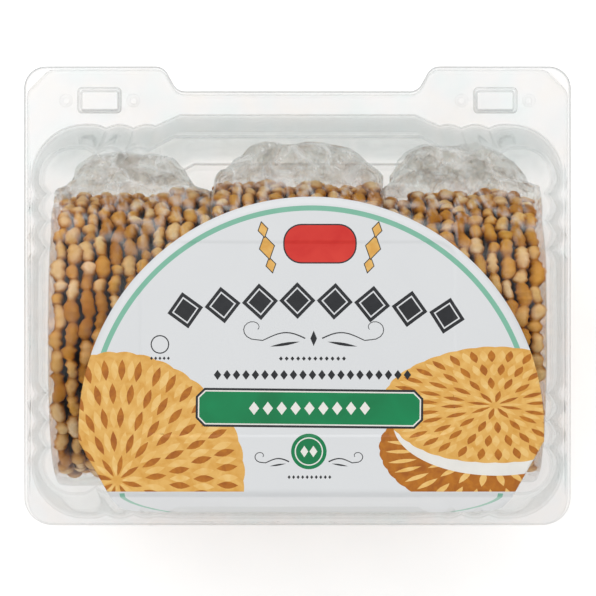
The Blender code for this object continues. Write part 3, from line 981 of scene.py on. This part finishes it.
POUCH_RADIUS = 55 * MM
POUCH_FILM = 0.12 * MM
POUCH_END = 3.1 * MM
FILM_SEED = 1  # without it the crumpling would follow the clock, and differ on each run
POUCH_CORNER = 3.2 * MM
POUCH_CLOSED = 54.2 * MM  # from the rows' centre to the closed end
POUCH_MOUTH_HALF_Z = 3.5 * MM
POUCH_TURNS = (-84, 44, 3)  # degrees round the wafers: closed end, shoulder and step
POUCH_NECK_STEPS = 22
POUCH_CLEAR = 47 * MM  # the film is cloudy beyond here, from the rows' centre
POUCH_NARROWS = mm(48, 22)  # where a pouch starts to narrow, and over what length
POUCH_BENDS = mm(50, 19)  # the same for the curve of its mouth
CRUMPLES = mm(0.25, 3.2)  # height of the crumpling where the film is tight, and where loose
PLEAT_PITCH = 17 * MM
PLEAT_DEPTH = 3.0  # millimetres
POUCH_ACROSS = 64
POUCH_DOWN = 22
# How far each pouch narrows to its mouth, on its left and on its right
POUCH_TAPER = {"left": mm(2, 7), "middle": mm(5, 4), "right": mm(3, 3)}
# How far each pouch's mouth curves back at its sides, and stays short of its solid's
POUCH_ARCH = {"left": mm(13, 4), "middle": mm(9, 0), "right": mm(12, 1.5)}


def pouch_profile(mouth):
    """(y, half height, looseness, haze) from the closed end over the wafers to the mouth."""
    profile = []
    for degrees in range(*POUCH_TURNS):
        turn = radians(degrees)
        loose = 0.06 + 0.5 * ease((degrees - 24) / 26) + 0.25 * ease((-62 - degrees) / 20)
        haze_and_wall_shade = 0.02 + 0.2 * ease((-66 - degrees) / 16)
        profile.append((POUCH_RADIUS * sin(turn), POUCH_RADIUS * cos(turn), loose, haze_and_wall_shade))
    shoulder = profile[-1]
    for i in range(1, POUCH_NECK_STEPS + 1):
        share = i / POUCH_NECK_STEPS
        y = mix(shoulder[0], mouth, share)
        half_z = mix(shoulder[1], POUCH_MOUTH_HALF_Z, share ** 1.25)
        haze_and_wall_shade = ease((y - POUCH_CLEAR) / (12 * MM))
        profile.append((y, half_z, mix(shoulder[2], 1.0, share), haze_and_wall_shade))
    return profile


def pouch_section(half_x, half_z):
    """Points round a rounded rectangle in X and Z, with its long sides well divided."""
    corner = min(POUCH_CORNER, half_z * 0.6)
    flat_x, flat_z = half_x - corner, half_z - corner
    points = []
    for sign_x, sign_z, start in ((1, -1, -90), (1, 1, 0), (-1, 1, 90), (-1, -1, 180)):
        points += quarter_arc((sign_x * flat_x, sign_z * flat_z), corner, start, 4)
        if start in (0, 180):
            steps, run = POUCH_ACROSS, (-sign_x * 2 * flat_x, 0)
        else:
            steps, run = POUCH_DOWN, (0, -sign_z * 2 * flat_z)
        last = points[-1]
        points += [(last[0] + run[0] * i / steps, last[1] + run[1] * i / steps)
                   for i in range(1, steps)]
    return points


def crumple(place, seed):
    """Height of crumpled film at a place, -1 to 1, and how near a sharp crease it is."""
    height = 0.0
    crease_shade_and_glint = 0.0
    for size, share in ((15 * MM, 0.65), (6 * MM, 0.35)):
        spot = place / size + Vector((seed, seed * 1.7, 0))
        spot += noise.noise_vector(spot * 0.7) * 0.5
        distances, _ = noise.voronoi(spot)
        height += share * (1 - 1.6 * distances[0])
        crease_shade_and_glint = max(crease_shade_and_glint, share / 0.65 * (1 - ease((distances[1] - distances[0]) / 0.1)))
    return height, crease_shade_and_glint


def pouch(row, film):
    """Film round one row: tight over the wafers, crumpled at its gathered mouth."""
    low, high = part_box(f"pouch_{row}")
    first, last = ROW_ENDS[row]
    ends = [sum(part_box(f"wafer_{number:02d}")[i].x for i in (0, 1)) / 2
            for number in (first, last)]
    half_x = (ends[1] - ends[0]) / 2 + POUCH_END
    centre_x = sum(ends) / 2
    centre_y = low.y + POUCH_CLOSED
    centre_z = (low.z + high.z) / 2
    seed = len(row)
    noise.seed_set(FILM_SEED)
    bm = bmesh.new()
    bm.verts.layers.float.new("crease_shade_and_glint")
    veil_layer = bm.verts.layers.float.new("haze_and_wall_shade")
    loose_layer = bm.verts.layers.float.new("loose")
    rings = []
    for y, half_z, loose, haze_and_wall_shade in pouch_profile(high.y - centre_y):
        narrow = ease((y - POUCH_NARROWS[0]) / POUCH_NARROWS[1]) ** 1.5
        left, right = (taper * narrow for taper in POUCH_TAPER[row])
        middle_x = centre_x + (left - right) / 2
        half = half_x - (left + right) / 2
        bend = ease((y - POUCH_BENDS[0]) / POUCH_BENDS[1])
        arch, short = (back * bend for back in POUCH_ARCH[row])
        points = [(splayed(middle_x + x, y), centre_y + y - short - arch * abs(x / half) ** 4,
                   centre_z + z) for x, z in pouch_section(half, half_z)]
        rings.append(ring(bm, points))
        for vert in rings[-1]:
            vert[veil_layer] = haze_and_wall_shade
            vert[loose_layer] = loose
    loft(bm, rings)
    bm.faces.new(rings[0])
    face_outward(bm, upward=True)
    bm.normal_update()
    layer = bm.verts.layers.float["crease_shade_and_glint"]
    moves = []
    for vert in bm.verts:
        height, crease_shade_and_glint = crumple(vert.co, seed)
        loose = vert[loose_layer]
        # the film's creases get a white line: partly haze, partly painted highlight
        vert[layer] = crease_shade_and_glint * loose
        amount = mix(*CRUMPLES, ease((loose - 0.3) / 0.6))
        pleat = sin(2 * pi * (vert.co.x - centre_x) / PLEAT_PITCH + seed)
        gather = Vector((0, 0, 1)) * pleat * PLEAT_DEPTH * MM * ease((loose - 0.7) / 0.3)
        moves.append(vert.co + vert.normal * (height - 0.35) * amount + gather)
    for vert, place in zip(bm.verts, moves):
        vert.co = place
        vert.co.y = min(vert.co.y, high.y - 0.5 * MM)
    piece = new_sheet(f"film_pouch_{row}", bm, 50, [film], f"pouch_{row}",
                      POUCH_FILM)
    piece.visible_shadow = False


# ---- materials

def linear(red, green, blue):
    """The scene's linear colour for a display colour of 0 to 255."""
    parts = [value / 255 for value in (red, green, blue)]
    return tuple(part / 12.92 if part < 0.04045 else ((part + 0.055) / 1.055) ** 2.4
                 for part in parts) + (1,)


def add_node(tree, kind, inputs=None, **settings):
    """Adds a node; inputs maps a socket's name or place to a value or another socket."""
    made = tree.nodes.new("ShaderNode" + kind)
    for key, value in settings.items():
        setattr(made, key, value)
    for key, value in (inputs or {}).items():
        if isinstance(value, bpy.types.NodeSocket):
            tree.links.new(value, made.inputs[key])
        else:
            made.inputs[key].default_value = value
    return made


def new_material(name):
    made = bpy.data.materials.new(name)
    made.use_nodes = True
    made.node_tree.nodes.clear()
    return made, made.node_tree


def finish_material(tree, surface):
    add_node(tree, "OutputMaterial", {"Surface": surface})


def finish_matte(tree, inputs):
    finish_material(tree, add_node(tree, "BsdfPrincipled", inputs).outputs[0])


def maths(tree, operation, *values, clamp=False):
    return add_node(tree, "Math", dict(enumerate(values)), operation=operation,
                    use_clamp=clamp).outputs[0]


def scaled(tree, value, factor, added, clamp=False):
    return maths(tree, "MULTIPLY_ADD", value, factor, added, clamp=clamp)


def colour_mix(tree, factor, first, last, blend="MIX"):
    made = add_node(tree, "Mix", {"Factor": factor}, data_type="RGBA",
                    blend_type=blend)
    for socket, value in ((made.inputs[6], first), (made.inputs[7], last)):
        if isinstance(value, bpy.types.NodeSocket):
            tree.links.new(value, socket)
        else:
            socket.default_value = value
    return made.outputs[2]


def object_place(tree):
    return add_node(tree, "TexCoord").outputs["Object"]


def noise_value(tree, place, scale, detail=3.0, roughness=0.5, distortion=0.0):
    """Noise with features of about 1 / scale metres."""
    made = add_node(tree, "TexNoise",
                    {"Vector": place, "Scale": scale, "Detail": detail,
                     "Roughness": roughness, "Distortion": distortion})
    return made.outputs["Fac"]


def opaque(*colours):
    return [(*colour, 1) for colour in colours]


def ramp(tree, factor, stops):
    """A colour ramp through (place, colour) stops."""
    made = add_node(tree, "ValToRGB", {"Fac": factor})
    elements = made.color_ramp.elements
    while len(elements) < len(stops):
        elements.new(1)
    for element, (place, colour) in zip(elements, stops):
        element.position = place
        element.color = colour
    return made.outputs["Color"]


def bump(tree, height, distance, strength=1.0, normal=None):
    inputs = {"Height": height, "Distance": distance, "Strength": strength}
    if normal is not None:
        inputs["Normal"] = normal
    return add_node(tree, "Bump", inputs).outputs["Normal"]


def attribute(tree, name):
    return add_node(tree, "Attribute", attribute_name=name).outputs["Fac"]


def clear_material(name, tint, slanted, haze_and_wall_shade_tints, gloss, roughness, mirrors, haze_and_crease_paint, bumps):
    """A clear sheet: at a slant it lets less through and mirrors more; along its creases it takes a
    painted line, painted dark shade on the clamshell and haze with painted highlight on the film.

    tint holds three tints seen straight on, slanted the tint at a slant, the next three tints
    where the film is loose and hazy and where the clamshell's walls take a painted grey shade,
    mirrors the shares mirrored straight on, added at a slant and added where loose, the next a
    colour and its shares everywhere, along the creases and where marked, and bumps a scale and
    a depth."""
    made, tree = new_material(name)
    place = object_place(tree)
    haze_and_wall_shade, crease_shade_and_glint = attribute(tree, "haze_and_wall_shade"), attribute(tree, "crease_shade_and_glint")
    broad = noise_value(tree, place, 70.0, 2.0)
    fine = noise_value(tree, place, bumps[0], 3.0)
    normal = bump(tree, fine, bumps[1])
    layer = add_node(tree, "LayerWeight", {"Blend": 0.5, "Normal": normal})
    facing = layer.outputs["Facing"]
    pastel = ramp(tree, broad, [(0.3, tint[0]), (0.5, tint[1]), (0.7, tint[2])])
    # painted grey shade on the clamshell's walls on the tabs' side; haze where the film is loose
    folds = noise_value(tree, place, 85.0, 3.0, 0.55, 1.2)
    loose = ramp(tree, folds, [(0.34, haze_and_wall_shade_tints[0]), (0.5, haze_and_wall_shade_tints[1]), (0.68, haze_and_wall_shade_tints[2])])
    pastel = colour_mix(tree, haze_and_wall_shade, pastel, loose)
    pastel = colour_mix(tree, maths(tree, "POWER", facing, 3.0), pastel, slanted)
    through = add_node(tree, "BsdfTransparent", {"Color": pastel}).outputs[0]
    mirror = add_node(tree, "BsdfGlossy",
                      {"Color": gloss, "Roughness": roughness, "Normal": normal}).outputs[0]
    share = scaled(tree, maths(tree, "POWER", facing, 5.0), mirrors[1], mirrors[0])
    share = scaled(tree, haze_and_wall_shade, mirrors[2], share, clamp=True)
    sheet = add_node(tree, "MixShader", {0: share, 1: through, 2: mirror}).outputs[0]
    # painted lines along creases: painted dark shade on the clamshell; haze and painted highlight
    # on the film
    haze_and_crease_shader = add_node(tree, "BsdfPrincipled",
                     {"Base Color": haze_and_crease_paint[0], "Roughness": 0.35, "Normal": normal}).outputs[0]
    amount = scaled(tree, crease_shade_and_glint, haze_and_crease_paint[2], haze_and_crease_paint[1])
    amount = scaled(tree, haze_and_wall_shade, haze_and_crease_paint[3], amount, clamp=True)
    whole = add_node(tree, "MixShader", {0: amount, 1: sheet, 2: haze_and_crease_shader}).outputs[0]
    finish_material(tree, whole)
    return made


def crust_material():
    """Baked batter: pale beads and toasted patches, with painted shade that makes the flanks ochre
    and the creases brown.
    """
    made, tree = new_material("baked_wafer")
    place = object_place(tree)
    patches = noise_value(tree, place, 90.0, 2.0)
    crumbs = noise_value(tree, place, 420.0, 5.0, 0.6)
    toast = scaled(tree, attribute(tree, "toast"), 0.62, -0.1)
    toast = scaled(tree, patches, 0.5, toast)
    toast = scaled(tree, crumbs, 0.3, toast)
    gold = ramp(tree, toast, [(0.14, linear(255, 232, 196)), (0.4, linear(246, 206, 142)),
                              (0.66, linear(228, 168, 70)), (0.95, linear(186, 118, 26))])
    speckle = scaled(tree, crumbs, 0.3, -0.15)
    # painted shade: ochre on the flanks, dark brown in the creases, grooves and hidden faces
    shade_depth = maths(tree, "ADD", attribute(tree, "depth"), speckle, clamp=True)
    flank_shade = ramp(tree, shade_depth, [(0.1, (0, 0, 0, 1)), (0.55, (1, 1, 1, 1))])
    colour = colour_mix(tree, flank_shade, gold, linear(184, 116, 26))
    hollow_shade = ramp(tree, shade_depth, [(0.5, (0, 0, 0, 1)), (0.95, (1, 1, 1, 1))])
    colour = colour_mix(tree, hollow_shade, colour, linear(74, 38, 26))
    pores = noise_value(tree, place, 1100.0, 4.0, 0.65)
    normal = bump(tree, pores, 0.25 * MM, 0.6)
    finish_matte(tree, {"Base Color": colour, "Roughness": 0.6, "Specular IOR Level": 0.15,
                        "Normal": normal})
    return made


def ink_material(name, colour, other, scale, spread):
    """Printed paper: one colour that drifts towards another, with the paper's own grain."""
    made, tree = new_material(name)
    place = object_place(tree)
    drift = noise_value(tree, place, scale, 3.0, 0.5, 0.6)
    share = scaled(tree, drift, spread, 0.5 - spread / 2, clamp=True)
    mixed = colour_mix(tree, share, colour, other)
    grain = noise_value(tree, place, 2600.0, 2.0)
    sag = noise_value(tree, place, 28.0, 1.0)
    normal = bump(tree, grain, 0.02 * MM, 0.5, bump(tree, sag, 0.5 * MM, 0.5))
    finish_matte(tree, {"Base Color": mixed, "Roughness": 0.42, "Normal": normal})
    return made


def label_inks():
    """The label's materials by name: (colour, colour it drifts to, noise scale, spread)."""
    kinds = {
        "paper": ((231, 233, 234), (224, 226, 228), 30, 1.0),
        "mint": ((124, 186, 160), (136, 196, 172), 200, 1.0),
        "ink": ((24, 26, 30), (44, 46, 50), 300, 1.0),
        "red": ((206, 26, 22), (226, 62, 48), 120, 1.5),
        "gold": ((222, 162, 70), (240, 192, 108), 260, 2.5),
        "gold_light": ((246, 206, 132), (236, 184, 96), 320, 2.5),
        "gold_dark": ((196, 122, 30), (166, 92, 20), 320, 2.5),
        "cream": ((246, 244, 238), (232, 230, 224), 120, 1.5),
        "green": ((0, 116, 66), (0, 140, 84), 60, 2.0),
    }
    return {name: ink_material("print_" + name, linear(*kind[0]), linear(*kind[1]), *kind[2:])
            for name, kind in kinds.items()}


# ---- stage

FLOOR_SIZE = 6.0
CAMERA_HEIGHT = 605 * MM  # above the clamshell's flange
CAMERA_PLACE = mm(0.2, -0.7)
SENSOR_WIDTH = 36  # millimetres, as Blender counts them
LAMP_TARGET = Vector(mm(0, 0, 60))
VIEW_WIDTH = 218.1 * MM  # across the frame at the flange


def floor():
    mesh = bpy.data.meshes.new("floor")
    half = FLOOR_SIZE / 2
    mesh.from_pydata([(-half, -half, 0), (half, -half, 0), (half, half, 0), (-half, half, 0)],
                     [], [(0, 1, 2, 3)])
    made, tree = new_material("pale_floor")
    grain = noise_value(tree, object_place(tree), 40.0)
    colour = ramp(tree, grain, [(0.3, linear(222, 222, 221)), (0.7, linear(227, 227, 226))])
    finish_matte(tree, {"Base Color": colour, "Roughness": 0.8,
                        "Emission Color": (1, 1, 1, 1), "Emission Strength": 0.49})
    mesh.materials.append(made)
    plane = new_object("floor", mesh)


def world():
    made = bpy.data.worlds.new("studio")
    made.use_nodes = True
    tree = made.node_tree
    tree.nodes.clear()
    ray = add_node(tree, "TexCoord").outputs["Generated"]
    height = add_node(tree, "SeparateXYZ", {0: ray}).outputs["Z"]
    sky = ramp(tree, height, [(0.0, (0.68, 0.68, 0.69, 1)), (0.5, (1, 1, 1, 1)),
                              (0.86, (0.7, 0.7, 0.7, 1)), (0.95, (0.18, 0.18, 0.18, 1))])
    side = add_node(tree, "SeparateXYZ", {0: ray}).outputs["Y"]
    strength = scaled(tree, side, 0.42, 1.07)
    shade = add_node(tree, "Background", {"Color": sky, "Strength": strength})
    add_node(tree, "OutputWorld", {"Surface": shade.outputs[0]})
    bpy.context.scene.world = made


def lamp(name, place, size, power):
    data = bpy.data.lights.new(name, "AREA")
    data.shape = "RECTANGLE"
    data.size, data.size_y = size
    data.energy = power
    made = new_object(name, data)
    made.location = place
    made.rotation_euler = (LAMP_TARGET - Vector(place)).to_track_quat("-Z", "Y").to_euler()


def camera(flange_z):
    data = bpy.data.cameras.new("camera")
    data.sensor_width = SENSOR_WIDTH
    data.lens = SENSOR_WIDTH * CAMERA_HEIGHT / VIEW_WIDTH
    data.clip_start = 0.01
    made = new_object("camera", data)
    made.location = (*CAMERA_PLACE, flange_z + CAMERA_HEIGHT)
    bpy.context.scene.camera = made


# clear_plastic: the darker grey tints of the tabs' side walls and the dark grey crease colour are
# painted shade
clear_plastic = clear_material(
    "clear_plastic", roughness=0.05, mirrors=(0.012, 0.6, 0.0), bumps=(120.0, 0.06 * MM),
    tint=opaque((0.948, 0.958, 0.958), (0.958, 0.958, 0.958), (0.963, 0.958, 0.953)),
    haze_and_wall_shade_tints=opaque((0.76, 0.79, 0.79), (0.79, 0.82, 0.82), (0.82, 0.84, 0.84)),
    slanted=(0.92, 0.925, 0.92, 1), gloss=(0.8, 0.81, 0.81, 1),
    haze_and_crease_paint=((0.42, 0.44, 0.44, 1), 0.0, 0.5, 0.0))
# clear_film: white lines along its creases, partly haze and partly painted highlight
clear_film = clear_material(
    "clear_film", roughness=0.08, mirrors=(0.004, 0.7, 0.09), bumps=(180.0, 0.12 * MM),
    tint=opaque((0.965, 0.985, 0.975), (0.985, 0.98, 0.98), (0.99, 0.965, 0.98)),
    haze_and_wall_shade_tints=opaque((0.76, 0.75, 0.73), (0.86, 0.86, 0.84), (0.95, 0.95, 0.94)),
    slanted=(0.93, 0.93, 0.925, 1), gloss=(1.0, 1.0, 1.0, 1),
    haze_and_crease_paint=((0.92, 0.92, 0.91, 1), 0.0, 0.4, 0.01))
tray("clear_base", "base_shell", BASE_MOUTH, BASE_DEPTH, -1, clear_plastic)
tray("clear_lid", "lid_shell", LID_MOUTH, LID_DEPTH, 1, clear_plastic)
label(label_inks())
wafers(crust_material())
for row in ROW_ENDS:
    pouch(row, clear_film)

floor()
world()
lamp("key", (-0.35, 0.55, 1.5), (1.2, 1.2), 5)
camera(BASE_MOUTH)
bpy.context.scene.view_settings.view_transform = "Standard"
bpy.context.scene.cycles.transparent_max_bounces = 48
